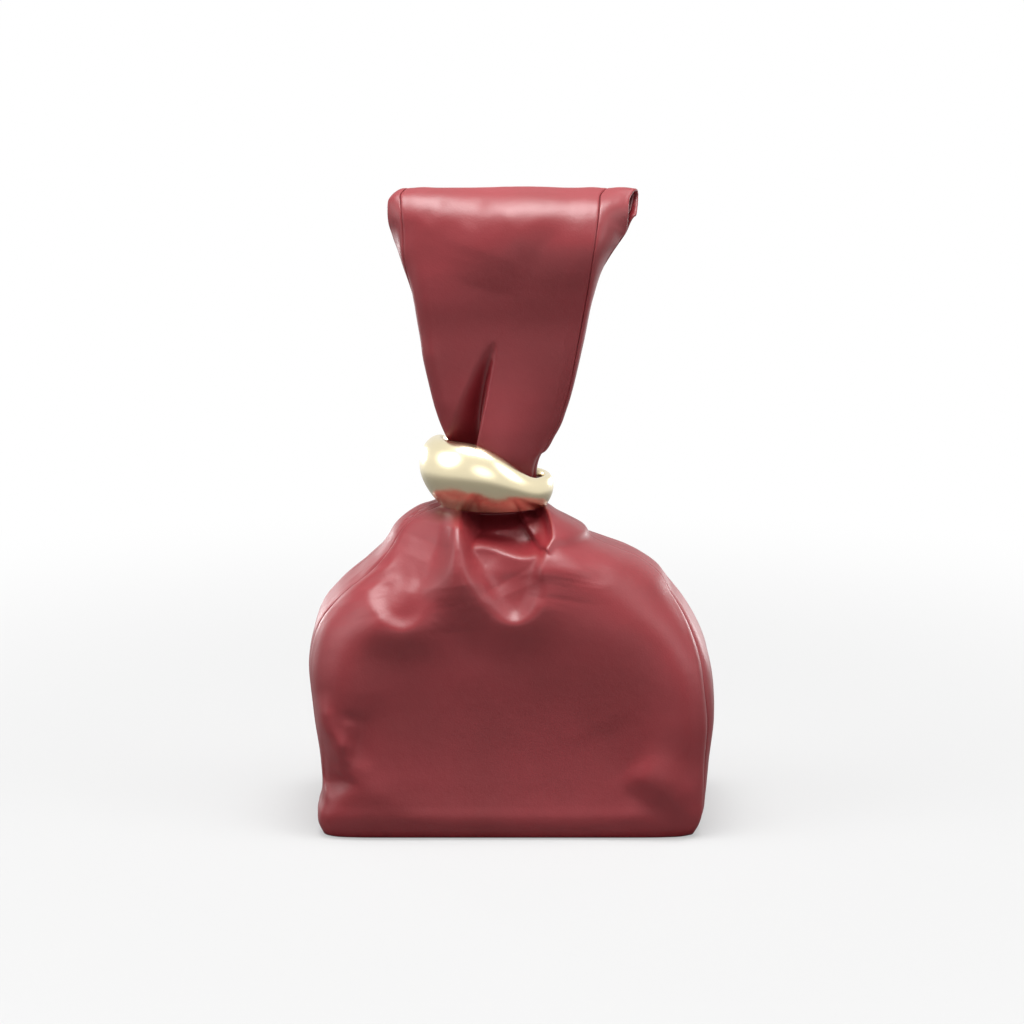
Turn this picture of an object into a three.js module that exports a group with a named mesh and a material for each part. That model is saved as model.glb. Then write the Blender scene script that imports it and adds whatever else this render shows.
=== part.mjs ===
// A soft leather pouch with a loop handle, closed by a sculpted metal ring round its gathered neck.
// Sliding the ring up the handle lets the gathers spread and opens the mouth.
// Millimetres, +Z up, front towards -Y, origin at the middle of the base on the floor.

import * as THREE from "three";

// Sheet materials
const LEATHER = 1.6;
const FACING_LEATHER = 0.9;
const LINING_CLOTH = 0.6;
const POCKET_CLOTH = 0.8;
const BOARD = 2;

// Air left at seams, behind the loose lining, and behind the facing of the handle
const SEAM_GAP = 0.3;
const LINING_EASE = 0.9;
const FACING_EASE = 0.7;

// Pouch: base, widest line, shoulder and the slope above it, each a width, a depth and a height
const BASE_WIDTH = 190;
const BASE_DEPTH = 97;
const BASE_RISE = 8;
const FOOT_TUCK = 3;
const BELLY_WIDTH = 203;
const BELLY_DEPTH = 106;
const BELLY_RISE = 66;
const BELLY_SHIFT = -1.5;
const SHOULDER_WIDTH = 178;
const SHOULDER_DEPTH = 107;
const SHOULDER_RISE = 110;
const SLOPE_WIDTH = 132;
const SLOPE_DEPTH = 87;
const SLOPE_RISE = 134;
const COLLAR_SPREAD = 16;
const COLLAR_SWELL = 9;
const COLLAR_DROP = 5;
const BASE_SQUARENESS = 9;
const NECK_SQUARENESS = 2;
const SQUARENESS_FADE = 1.5;
const GUSSET_ANGLE = THREE.MathUtils.degToRad(34);

// Gathers: folds drawn in at the neck, which fade out down the back and up the handle
const PLEATS = 10;
const PLEAT_DEPTH = 4;
const PLEAT_FOOT = 120;
const PLEAT_FADE = 34;

// Drapes of the front, as distances from the middle and heights: ridges run down from the ring,
// and between them the slack leather hangs in hollows, each with a raised rim below it
const RIDGE_RISE = 8.5;
const RIDGE_WIDTH = 8;
const SIDE_RIDGE_RISE = 5;
const SIDE_RIDGE_WIDTH = 8;
const HOLLOW_DEPTH = 4;
const HOLLOW_WIDTH = 16;
const POCKET_DIP = 6;
const POCKET_SPREAD = 10;
const RIM_RISE = 2.5;
const RIM_WIDTH = 6;
const DRAPE_FOOT = 107;
const DRAPE_FADE = 5;
const RIDGE_LINE = [
  [-27, 152],
  [-30, 143],
  [-34, 126],
  [-34, 120],
];
const RIGHT_RIDGE_LINE = [
  [19, 154],
  [22, 144],
  [20, 131],
  [14, 116],
];
const LEFT_RIDGE_LINE = [
  [-56, 151],
  [-67, 138],
  [-72, 124],
];
const LEFT_RIM_LINE = [
  [-71, 125],
  [-65, 116],
  [-55, 112],
  [-45, 115],
  [-39, 125],
];
const RIGHT_RIM_LINE = [
  [-22, 135],
  [-15, 122],
  [-7, 114],
  [2, 113],
  [9, 118],
  [14, 128],
];
const LEFT_HOLLOW_LINE = [
  [-51, 140],
  [-54, 126],
];
const RIGHT_HOLLOW_LINE = [
  [-5, 133],
  [-2, 124],
];
const POCKET_LINE = [
  [-13, 152],
  [0, 150],
  [12, 152],
];

// Dish of the front: the slack leather sinks between the shoulder and the foot
const DISH_DEPTH = 8;
const DISH_RADIUS = 56;
const DISH_LINE = [
  [-38, 63],
  [42, 61],
];

// Lining and pocket
const LINING_RISE = 102;
const POCKET_WIDTH = 112;
const POCKET_FOOT = 34;
const POCKET_RISE = 94;

// Ring: an oval bore, a heavy domed bulb on one side and a slim band on the other
const BORE_WIDTH = 49;
const BORE_DEPTH = 42;
const RING_SHIFT = -9.3;
const RING_FOOT = 158.5;
const BULB_HEIGHT = 35.5;
const BAND_HEIGHT = 15.5;
const BULB_THICKNESS = 12.3;
const BAND_THICKNESS = 5.5;
const COMFORT_ROUND = 2.2;
const BULB_ANGLE = THREE.MathUtils.degToRad(208);
const SWELL_START = 0.25;
const SWELL_END = 0.95;
const RING_CLEARANCE = 0.4;
const NECK_SHARE = 0.8;

// Handle: a band that leaves the neck, widens to a waist, spreads into wings and folds over the top
const TOP_RISE = 316;
const FOLD_DEPTH = 20;
const FOLD_LEAN = 8;
const LOOP_DEPTH = 39;
const WAIST_WIDTH = 87.5;
const WAIST_SHIFT = -4.8;
const WAIST_RISE = 262;
const WING_WIDTH = 114;
const WING_SHIFT = 1.2;
const WING_SKEW = 7.5;
const WING_START = 0.8;
const EDGE_CURL = 4;
const FOLD_CURL = 1;
const EDGE_STRIP = 13;
const FACING_FOOT = 22;
const MOUTH_GAP = 0.6;

// Facets along and across the sheets
const PANEL_ROWS = 32;
const FRONT_COLUMNS = 40;
const BACK_COLUMNS = 26;
const POCKET_COLUMNS = 10;
const BAND_COLUMNS = 16;
const STRIP_COLUMNS = 3;
const FACING_COLUMNS = 12;
const GUSSET_COLUMNS = 10;
const LINING_ROWS = 7;
const HANDLE_ROWS = 34;
const RING_STEPS = 44;
const RING_SIDES = 16;
const BASE_STEPS = 72;

// Places that follow from the sizes above
const NECK_WIDTH = BORE_WIDTH - 2 * RING_CLEARANCE;
const NECK_DEPTH = BORE_DEPTH - 2 * RING_CLEARANCE;
const NECK_FOOT = RING_FOOT - SEAM_GAP;
const BULB_TOP = RING_FOOT + BULB_HEIGHT;
const BAND_TOP = RING_FOOT + BAND_HEIGHT;
const NECK_RISE = RING_FOOT + NECK_SHARE * BAND_HEIGHT;
const BOARD_FOOT = LEATHER + SEAM_GAP;
const LINING_FOOT = BOARD_FOOT + BOARD + SEAM_GAP;
const FRONT = 1.5 * Math.PI;
const BACK = 0.5 * Math.PI;

const { lerp, smoothstep } = THREE.MathUtils;

const leather = new THREE.MeshStandardMaterial({ color: 0x7d2a31, roughness: 0.5 });
const lining = new THREE.MeshStandardMaterial({ color: 0x5a2227, roughness: 0.9 });
const board = new THREE.MeshStandardMaterial({ color: 0x8d7a62, roughness: 0.95 });
const gold = new THREE.MeshStandardMaterial({ color: 0xe3d3a1, roughness: 0.12, metalness: 1 });

// Half the width, half the depth and the height of the pouch wall, from the floor to the neck seam
const wallRail = new THREE.CatmullRomCurve3([
  new THREE.Vector3(BASE_WIDTH / 2 - FOOT_TUCK, BASE_DEPTH / 2 - FOOT_TUCK, 0),
  new THREE.Vector3(BASE_WIDTH / 2, BASE_DEPTH / 2, BASE_RISE),
  new THREE.Vector3(BELLY_WIDTH / 2, BELLY_DEPTH / 2, BELLY_RISE),
  new THREE.Vector3(SHOULDER_WIDTH / 2, SHOULDER_DEPTH / 2, SHOULDER_RISE),
  new THREE.Vector3(SLOPE_WIDTH / 2, SLOPE_DEPTH / 2, SLOPE_RISE),
  new THREE.Vector3(
    NECK_WIDTH / 2 + COLLAR_SPREAD,
    NECK_DEPTH / 2 + COLLAR_SWELL,
    NECK_FOOT - COLLAR_DROP,
  ),
  new THREE.Vector3(NECK_WIDTH / 2, NECK_DEPTH / 2, NECK_FOOT),
  new THREE.Vector3(NECK_WIDTH / 2, NECK_DEPTH / 2, NECK_RISE),
]);

// Where along the wall rail a height is reached
function railAt(height) {
  let low = 0;
  let high = 1;
  for (let halving = 0; halving < 40; halving++) {
    const middle = (low + high) / 2;
    if (wallRail.getPoint(middle).z < height) low = middle;
    else high = middle;
  }
  return low;
}

// How far a gather pulls the leather in at an angle round the neck: nothing on a crest
function pleat(angle, depth) {
  return (depth * (1 - Math.cos(PLEATS * angle))) / 2;
}

// How far a point is from a line through points
function distanceToLine(point, line) {
  const closest = new THREE.Vector2();
  const distances = line.slice(1).map((end, n) => {
    const start = new THREE.Vector2(...line[n]);
    const run = new THREE.Vector2(...end).sub(start);
    const share = THREE.MathUtils.clamp(point.clone().sub(start).dot(run) / run.lengthSq(), 0, 1);
    return closest.copy(start).addScaledVector(run, share).distanceTo(point);
  });
  return Math.min(...distances);
}

// A rounded swelling along a line, or a hollow for a negative rise
function swelling(point, line, rise, width) {
  return rise * Math.exp(-((distanceToLine(point, line) / width) ** 2));
}

// How far the drapes push the front out at a distance from the middle and a height
function drape(x, z) {
  if (z < DRAPE_FOOT || z > NECK_FOOT) return 0;
  const point = new THREE.Vector2(x, z);
  const push =
    swelling(point, RIDGE_LINE, RIDGE_RISE, RIDGE_WIDTH) +
    swelling(point, RIGHT_RIDGE_LINE, SIDE_RIDGE_RISE, SIDE_RIDGE_WIDTH) +
    swelling(point, LEFT_RIDGE_LINE, SIDE_RIDGE_RISE / 2, SIDE_RIDGE_WIDTH) +
    swelling(point, LEFT_RIM_LINE, RIM_RISE, RIM_WIDTH) +
    swelling(point, RIGHT_RIM_LINE, RIM_RISE, RIM_WIDTH) +
    swelling(point, LEFT_HOLLOW_LINE, -HOLLOW_DEPTH, HOLLOW_WIDTH) +
    swelling(point, RIGHT_HOLLOW_LINE, -HOLLOW_DEPTH, HOLLOW_WIDTH) +
    swelling(point, POCKET_LINE, -POCKET_DIP, POCKET_SPREAD);
  const fromFoot = smoothstep(z, DRAPE_FOOT, DRAPE_FOOT + DRAPE_FADE);
  return push * fromFoot * (1 - smoothstep(z, NECK_FOOT - COLLAR_DROP - DRAPE_FADE, NECK_FOOT - 1));
}

// How far the front sinks into its dish at a distance from the middle and a height
function dish(x, z) {
  const out = distanceToLine(new THREE.Vector2(x, z), DISH_LINE) / DISH_RADIUS;
  return DISH_DEPTH * Math.max(0, 1 - out * out) ** 1.5;
}

// A point on the outside of the pouch before its front drapes: angle goes round, along goes up the wall
function smoothPoint(angle, along) {
  const { x: halfWidth, y: halfDepth, z } = wallRail.getPoint(along);
  const fade = Math.max(0, 1 - z / NECK_FOOT) ** SQUARENESS_FADE;
  const squareness = lerp(NECK_SQUARENESS, BASE_SQUARENESS, fade);
  const cos = Math.cos(angle);
  const sin = Math.sin(angle);
  const reach = (Math.abs(cos) ** squareness + Math.abs(sin) ** squareness) ** (-1 / squareness);
  const behind = smoothstep(z, PLEAT_FOOT, NECK_FOOT) * smoothstep(sin, 0, 0.5);
  const inRing = smoothstep(z, NECK_FOOT - 1, NECK_FOOT + COLLAR_DROP);
  const inward = pleat(angle, PLEAT_DEPTH * Math.max(behind, inRing));
  const toNeck = smoothstep(z, SHOULDER_RISE, NECK_FOOT - COLLAR_DROP);
  return new THREE.Vector3(
    RING_SHIFT * toNeck + (halfWidth - inward) * reach * cos,
    BELLY_SHIFT * (1 - toNeck) + (halfDepth - inward) * reach * sin,
    z,
  );
}

// A point on the outside of the pouch, with the drapes and the dish of its front
function pouchPoint(angle, along) {
  const point = smoothPoint(angle, along);
  const onFront = smoothstep(-Math.sin(angle), 0, 0.4);
  const push = onFront > 0 ? (drape(point.x, point.z) - dish(point.x, point.z)) * onFront : 0;
  if (Math.abs(push) < 1e-6) return point;
  const step = 1e-4;
  const rightward = smoothPoint(angle + step, along).sub(smoothPoint(angle - step, along));
  const upward = smoothPoint(angle, along + step).sub(smoothPoint(angle, along - step));
  return point.addScaledVector(rightward.cross(upward).normalize(), push);
}

// Half the angle that a side gusset takes: the end of the box at the base, one pleat at the neck
function gussetAngle(along) {
  const { z } = wallRail.getPoint(along);
  return lerp(GUSSET_ANGLE, Math.PI / PLEATS, smoothstep(z, BELLY_RISE, NECK_FOOT));
}

// A panel of the pouch wall round a middle angle, kept half a seam gap back from its neighbours
function panelSurface(middle, halfAngle, from, to) {
  return (across, up) => {
    const along = lerp(from, to, up);
    const half = halfAngle(along);
    const side = middle + half;
    const turn = 1e-4;
    const speed = pouchPoint(side, along).distanceTo(pouchPoint(side - turn, along)) / turn;
    const reach = half - SEAM_GAP / 2 / speed;
    return pouchPoint(middle + lerp(-reach, reach, across), along);
  };
}

// The outward direction of a surface whose across and up run right and up as seen from outside
function normalAt(surface, across, up) {
  const step = 1e-4;
  const [left, right] = [Math.max(0, across - step), Math.min(1, across + step)];
  const [down, top] = [Math.max(0, up - step), Math.min(1, up + step)];
  const rightward = surface(right, up).sub(surface(left, up));
  const upward = surface(across, top).sub(surface(across, down));
  return rightward.cross(upward).normalize();
}

// A closed sheet under a surface: its outer face lies depth below it, its inner face a thickness more.
// Level ends are cut flat: on the floor, at the neck seam and at the handle's roots.
function sheetGeometry(surface, { columns, rows, thickness, depth = 0, levelEnds = false }) {
  const positions = [];
  for (const inset of [depth, depth + thickness]) {
    for (let row = 0; row <= rows; row++) {
      for (let column = 0; column <= columns; column++) {
        const normal = normalAt(surface, column / columns, row / rows);
        const atEnd = row === 0 || row === rows;
        if (levelEnds && atEnd) normal.setZ(0).normalize();
        positions.push(...surface(column / columns, row / rows).addScaledVector(normal, -inset));
      }
    }
  }
  const layer = (columns + 1) * (rows + 1);
  const outer = (column, row) => row * (columns + 1) + column;
  const inner = (column, row) => layer + outer(column, row);
  const index = [];
  const quad = (a, b, c, d) => index.push(a, b, c, a, c, d);
  for (let row = 0; row < rows; row++) {
    for (let column = 0; column < columns; column++) {
      const [right, up] = [column + 1, row + 1];
      quad(outer(column, row), outer(right, row), outer(right, up), outer(column, up));
      quad(inner(column, row), inner(column, up), inner(right, up), inner(right, row));
    }
    quad(outer(0, row), outer(0, row + 1), inner(0, row + 1), inner(0, row));
    quad(outer(columns, row), inner(columns, row), inner(columns, row + 1), outer(columns, row + 1));
  }
  for (let column = 0; column < columns; column++) {
    quad(outer(column, 0), inner(column, 0), inner(column + 1, 0), outer(column + 1, 0));
    quad(outer(column, rows), outer(column + 1, rows), inner(column + 1, rows), inner(column, rows));
  }
  const geometry = new THREE.BufferGeometry();
  geometry.setAttribute("position", new THREE.Float32BufferAttribute(positions, 3));
  geometry.setIndex(index);
  return geometry;
}

// A flat plate that fills the pouch at a height, an inset in from the outside of its wall
function plateGeometry(height, thickness, inset) {
  const along = railAt(height);
  const outline = [];
  for (let step = 0; step < BASE_STEPS; step++) {
    const angle = (2 * Math.PI * step) / BASE_STEPS;
    const point = pouchPoint(angle, along);
    const ahead = pouchPoint(angle + 1e-3, along).sub(pouchPoint(angle - 1e-3, along)).normalize();
    outline.push(new THREE.Vector2(point.x - ahead.y * inset, point.y + ahead.x * inset));
  }
  const geometry = new THREE.ExtrudeGeometry(new THREE.Shape(outline), {
    depth: thickness,
    bevelEnabled: false,
  });
  return geometry.translate(0, 0, height);
}

// The side view of the handle, from the front of the neck over the top to the back of the neck
const foldRadius = FOLD_DEPTH / 2;
const foldStep = foldRadius * Math.SQRT1_2;
const legHeights = [
  NECK_RISE + SEAM_GAP,
  BULB_TOP,
  WAIST_RISE,
  TOP_RISE - foldRadius,
  TOP_RISE - foldRadius + foldStep,
];
const legDepths = [NECK_DEPTH / 2, NECK_DEPTH / 2, LOOP_DEPTH / 2, foldRadius, foldStep];
const lean = (height) => FOLD_LEAN * smoothstep(height, WAIST_RISE - LOOP_DEPTH / 2, TOP_RISE);
const legPoint = (side) => (height, n) => new THREE.Vector3(0, side * legDepths[n] + lean(height), height);
const frontLeg = legHeights.map(legPoint(-1));
const backLeg = legHeights.map(legPoint(1)).reverse();
const fold = new THREE.Vector3(0, FOLD_LEAN, TOP_RISE);
const handleArch = new THREE.CatmullRomCurve3([...frontLeg, fold, ...backLeg]);

// An edge of the handle: the neck's width, then the waist's, then the wings'.
// The back wing lies further right than the front one, so the fold on top runs a little askew.
function handleEdge(side, along) {
  const { y: depth, z: height } = handleArch.getPoint(along);
  const neckTop = side < 0 ? BULB_TOP : BAND_TOP;
  const neck = RING_SHIFT + (side * NECK_WIDTH) / 2;
  const waist = WAIST_SHIFT + (side * WAIST_WIDTH) / 2;
  const wing = WING_SHIFT + (side * WING_WIDTH) / 2 + (WING_SKEW * depth) / LOOP_DEPTH;
  const toWaist = smoothstep(height, neckTop, WAIST_RISE);
  const wingFoot = lerp(neckTop, WAIST_RISE, WING_START);
  const toWing = smoothstep(height, wingFoot, TOP_RISE - FOLD_DEPTH / 2);
  return lerp(lerp(neck, waist, toWaist), wing, toWing);
}

// A point on the outside of the handle: across runs from -1 to 1, along from the front root to the back
function handlePoint(across, along) {
  const centre = handleArch.getPoint(along);
  const ahead = handleArch.getTangent(along);
  const inward = new THREE.Vector3(0, ahead.z, -ahead.y);
  const front = along < 0.5;
  const height = centre.z;
  const left = handleEdge(-1, along);
  const right = handleEdge(1, along);
  const turn = (across * Math.PI) / 2;
  const open = smoothstep(height, BULB_TOP, WAIST_RISE);
  const atFold = smoothstep(height, WAIST_RISE, TOP_RISE - FOLD_DEPTH / 2);
  const curl = lerp(lerp(NECK_DEPTH / 2, EDGE_CURL, open), FOLD_CURL, atFold);
  const fold = pleat(
    front ? FRONT + turn : BACK - turn,
    PLEAT_DEPTH * (1 - smoothstep(height, BAND_TOP, BULB_TOP + PLEAT_FADE)),
  );
  const spread = lerp(Math.sin(turn), across, open);
  const x = (left + right) / 2 + ((right - left) / 2 - fold) * spread;
  const sink = curl * (1 - Math.cos(turn)) + fold * Math.cos(turn);
  return centre.addScaledVector(inward, sink).setX(x);
}

// Where across the handle the seam between its band and an edge strip lies
function handleSeam(along) {
  const open = smoothstep(handleArch.getPoint(along).z, BULB_TOP, WAIST_RISE);
  return lerp(1 - 2 / PLEATS, 1 - handleShare(along, EDGE_STRIP), open);
}

// Millimetres on the handle as a share of half its width
function handleShare(along, length) {
  return (2 * length) / (handleEdge(1, along) - handleEdge(-1, along));
}

// A lengthwise piece of the handle between two lines across it
function handleSurface(fromLine, toLine, start = 0, end = 1) {
  return (across, up) => {
    const along = lerp(start, end, up);
    return handlePoint(lerp(fromLine(along), toLine(along), across), along);
  };
}

// Where along the handle's front leg a height is reached
function archAt(height) {
  let low = 0;
  let high = 0.5;
  for (let halving = 0; halving < 40; halving++) {
    const middle = (low + high) / 2;
    if (handleArch.getPoint(middle).z < height) low = middle;
    else high = middle;
  }
  return low;
}

// The ring: two half ellipses make its section, a shallow one towards the bore and a full one outside.
// Height and thickness swell from the slim band to the bulb.
function ringGeometry() {
  const positions = [];
  const index = [];
  for (let step = 0; step < RING_STEPS; step++) {
    const angle = (2 * Math.PI * step) / RING_STEPS;
    const swell = smoothstep((1 + Math.cos(angle - BULB_ANGLE)) / 2, SWELL_START, SWELL_END);
    const halfHeight = lerp(BAND_HEIGHT, BULB_HEIGHT, swell) / 2;
    const crown = lerp(BAND_THICKNESS, BULB_THICKNESS, swell) - COMFORT_ROUND;
    const outward = new THREE.Vector2(Math.cos(angle) / BORE_WIDTH, Math.sin(angle) / BORE_DEPTH);
    outward.normalize();
    for (let side = 0; side < RING_SIDES; side++) {
      const lift = (2 * Math.PI * side) / RING_SIDES;
      const bulge = Math.cos(lift) > 0 ? crown : COMFORT_ROUND;
      const reach = COMFORT_ROUND + bulge * Math.cos(lift);
      positions.push(
        RING_SHIFT + (BORE_WIDTH / 2) * Math.cos(angle) + outward.x * reach,
        (BORE_DEPTH / 2) * Math.sin(angle) + outward.y * reach,
        RING_FOOT + halfHeight * (1 + Math.sin(lift)),
      );
      const nextStep = ((step + 1) % RING_STEPS) * RING_SIDES;
      const nextSide = (side + 1) % RING_SIDES;
      const here = step * RING_SIDES;
      index.push(here + side, nextStep + side, nextStep + nextSide);
      index.push(here + side, nextStep + nextSide, here + nextSide);
    }
  }
  const geometry = new THREE.BufferGeometry();
  geometry.setAttribute("position", new THREE.Float32BufferAttribute(positions, 3));
  geometry.setIndex(index);
  return geometry;
}

const bag = new THREE.Group();

function addPiece(name, geometry, material) {
  geometry.computeVertexNormals();
  const mesh = new THREE.Mesh(geometry, material);
  mesh.name = name;
  bag.add(mesh);
}

// Pouch walls: two broad panels and two side gussets that taper towards the neck
const frontAngle = (along) => Math.PI / 2 - gussetAngle(along);
const broad = { halfAngle: frontAngle };
const narrow = { halfAngle: gussetAngle, columns: GUSSET_COLUMNS };
const walls = [
  { side: "front", piece: "front_panel", middle: FRONT, ...broad, columns: FRONT_COLUMNS },
  { side: "back", piece: "back_panel", middle: BACK, ...broad, columns: BACK_COLUMNS },
  { side: "left", piece: "left_gusset", middle: Math.PI, ...narrow },
  { side: "right", piece: "right_gusset", middle: 0, ...narrow },
];
for (const { side, middle, halfAngle, columns, piece } of walls) {
  const outside = panelSurface(middle, halfAngle, 0, 1);
  addPiece(
    piece,
    sheetGeometry(outside, { columns, rows: PANEL_ROWS, thickness: LEATHER, levelEnds: true }),
    leather,
  );
  const lined = panelSurface(middle, halfAngle, railAt(LINING_FOOT), railAt(LINING_RISE));
  addPiece(
    `lining_${side}`,
    sheetGeometry(lined, {
      columns: columns / 2,
      rows: LINING_ROWS,
      thickness: LINING_CLOTH,
      depth: LEATHER + LINING_EASE,
    }),
    lining,
  );
}

// Base: leather outside, a stiffening board, and the lining over it
const wallInset = LEATHER + LINING_EASE;
addPiece("base_panel", plateGeometry(0, LEATHER, wallInset), leather);
addPiece("base_board", plateGeometry(BOARD_FOOT, BOARD, wallInset), board);
const liningInset = wallInset + LINING_CLOTH + LINING_EASE;
addPiece("lining_base", plateGeometry(LINING_FOOT, LINING_CLOTH, liningInset), lining);

// A slip pocket lies on the back lining
const pocketAngle = (along) => Math.atan(POCKET_WIDTH / 2 / wallRail.getPoint(along).x);
addPiece(
  "slip_pocket",
  sheetGeometry(panelSurface(BACK, pocketAngle, railAt(POCKET_FOOT), railAt(POCKET_RISE)), {
    columns: POCKET_COLUMNS,
    rows: LINING_ROWS,
    thickness: POCKET_CLOTH,
    depth: LEATHER + LINING_CLOTH + 2 * LINING_EASE,
  }),
  lining,
);

// Handle: a broad band between two edge strips, all three backed by one facing
const half = (along) => 1 - handleShare(along, MOUTH_GAP / 2);
const seam = (along) => handleSeam(along) - handleShare(along, SEAM_GAP / 2);
const strip = (along) => handleSeam(along) + handleShare(along, SEAM_GAP / 2);
const minus = (line) => (along) => -line(along);
const band = { rows: HANDLE_ROWS, thickness: LEATHER, levelEnds: true };
const edging = { ...band, columns: STRIP_COLUMNS };
const bandSurface = handleSurface(minus(seam), seam);
const leftSurface = handleSurface(minus(half), minus(strip));
const rightSurface = handleSurface(strip, half);
addPiece("handle_band", sheetGeometry(bandSurface, { ...band, columns: BAND_COLUMNS }), leather);
addPiece("handle_left_strip", sheetGeometry(leftSurface, edging), leather);
addPiece("handle_right_strip", sheetGeometry(rightSurface, edging), leather);
const facingRow = Math.ceil(HANDLE_ROWS * archAt(BULB_TOP + FACING_FOOT));
const facingStart = facingRow / HANDLE_ROWS;
addPiece(
  "handle_facing",
  sheetGeometry(handleSurface(minus(half), half, facingStart, 1 - facingStart), {
    columns: FACING_COLUMNS,
    rows: HANDLE_ROWS - 2 * facingRow,
    thickness: FACING_LEATHER,
    depth: LEATHER + FACING_EASE,
  }),
  leather,
);

addPiece("slide_ring", ringGeometry(), gold);

export default bag;
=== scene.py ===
# %% [markdown]
# # A gathered leather pochette
# A soft burgundy pouch stands on a flat base. Its leather is drawn into a polished gold ring and
# flares above the ring into a wide loop handle.
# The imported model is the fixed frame: sizes, places and the ring's slide come from it.
# This lesson makes the leather, the lining and the ring around that frame.

# %% Load the frame
import math

import bpy
import numpy as np
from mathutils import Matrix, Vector


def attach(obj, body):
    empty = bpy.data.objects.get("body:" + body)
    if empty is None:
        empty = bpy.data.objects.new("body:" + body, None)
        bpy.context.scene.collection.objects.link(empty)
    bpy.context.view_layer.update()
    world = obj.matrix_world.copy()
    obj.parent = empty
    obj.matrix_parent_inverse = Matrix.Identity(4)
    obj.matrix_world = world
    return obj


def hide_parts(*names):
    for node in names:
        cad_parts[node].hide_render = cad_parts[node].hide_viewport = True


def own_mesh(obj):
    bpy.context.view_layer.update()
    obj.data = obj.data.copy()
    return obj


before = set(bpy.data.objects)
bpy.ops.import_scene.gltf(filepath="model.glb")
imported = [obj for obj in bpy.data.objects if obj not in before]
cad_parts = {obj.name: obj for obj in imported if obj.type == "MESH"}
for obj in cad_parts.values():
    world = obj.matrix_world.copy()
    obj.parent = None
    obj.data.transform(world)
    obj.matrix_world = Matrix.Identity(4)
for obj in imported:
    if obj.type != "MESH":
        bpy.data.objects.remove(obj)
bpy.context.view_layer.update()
MM = 0.001

# %% [markdown]
# ## Camera
# The photograph was taken with a long lens from a little above, so the base's back corners stand higher
# in the picture than its front edge. A 105 mm lens at 1.5 m gives that view.
# The camera comes first because the folds are drawn in photograph pixels and pushed onto the leather
# through this same camera.

# %% Camera
PHOTO_SIDE = 1024
SENSOR = 36.0
PIXELS_PER_METRE = 2000
CAMERA_DISTANCE = 1.5
CAMERA_TILT = math.radians(12)
AIM = np.array([0.0, 0.0, 0.154])

camera_back = np.array([0.0, -math.cos(CAMERA_TILT), math.sin(CAMERA_TILT)])
camera_up = np.array([0.0, math.sin(CAMERA_TILT), math.cos(CAMERA_TILT)])
camera_place = AIM + CAMERA_DISTANCE * camera_back
focal_pixels = PIXELS_PER_METRE * CAMERA_DISTANCE

bpy.ops.object.camera_add(location=camera_place, rotation=(math.pi / 2 - CAMERA_TILT, 0, 0))
camera = bpy.context.object
camera.name = "product_camera"
camera.data.lens = SENSOR * focal_pixels / PHOTO_SIDE
camera.data.sensor_width = SENSOR
bpy.context.scene.camera = camera


def in_photo(points):
    """Where points in metres appear in the photograph, in pixels from its top left corner."""
    seen = points - camera_place
    depth = -(seen @ camera_back)
    across = PHOTO_SIDE / 2 + focal_pixels * seen[:, 0] / depth
    down = PHOTO_SIDE / 2 - focal_pixels * (seen @ camera_up) / depth
    return np.stack([across, down], axis=1)


print("camera: lens", round(camera.data.lens, 1), "mm")

# %% [markdown]
# ## Materials
# Each finish is one function. A hex colour is turned to linear light once, and one small helper
# adds a node with its settings and links.


# %% Node helpers
def linear(hex_colour):
    """An sRGB hex colour as linear red, green, blue and full alpha."""
    channels = [int(hex_colour[i : i + 2], 16) / 255 for i in (1, 3, 5)]
    bent = [c / 12.92 if c <= 0.04045 else ((c + 0.055) / 1.055) ** 2.4 for c in channels]
    return (*bent, 1.0)


def add_node(tree, kind, settings=None, **inputs):
    """Adds a node: settings are its own properties, inputs are values or sockets to link from."""
    node = tree.nodes.new(kind)
    for name, value in (settings or {}).items():
        setattr(node, name, value)
    for name, value in inputs.items():
        socket = node.inputs[int(name[1:]) if name[1:].isdigit() else name.replace("_", " ")]
        if isinstance(value, bpy.types.NodeSocket):
            tree.links.new(value, socket)
        else:
            socket.default_value = value
    return node


def new_material(name):
    """An empty material with its tree and the object's own coordinates."""
    material = bpy.data.materials.new(name)
    material.use_nodes = True
    tree = material.node_tree
    tree.nodes.clear()
    return material, tree, add_node(tree, "ShaderNodeTexCoord").outputs["Object"]


def finished(material, **inputs):
    """Ends a material with a principled surface that has these inputs."""
    tree = material.node_tree
    surface = add_node(tree, "ShaderNodeBsdfPrincipled", **inputs)
    add_node(tree, "ShaderNodeOutputMaterial", Surface=surface.outputs["BSDF"])
    return material


# %% Texture helpers
def noise(tree, place, size, detail):
    """Cloudy noise with patches of about this size."""
    return add_node(tree, "ShaderNodeTexNoise", Vector=place, Scale=1 / size, Detail=detail).outputs["Fac"]


def bump(tree, height, strength, distance, **under):
    """A normal that shows height as relief, over another normal where one is given."""
    relief = add_node(tree, "ShaderNodeBump", Strength=strength, Distance=distance, Height=height, **under)
    return relief.outputs["Normal"]


def spread(tree, value, least, most):
    """A value from 0 to 1 spread from least to most."""
    return add_node(tree, "ShaderNodeMapRange", Value=value, To_Min=least, To_Max=most).outputs["Result"]


def colour_ramp(tree, factor, stops):
    """A colour ramp with the given (position, hex colour) stops."""
    ramp = add_node(tree, "ShaderNodeValToRGB", Fac=factor)
    band = ramp.color_ramp
    while len(band.elements) < len(stops):
        band.elements.new(0.5)
    for element, (position, colour) in zip(band.elements, stops):
        element.position = position
        element.color = linear(colour)
    return ramp.outputs["Color"]


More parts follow.
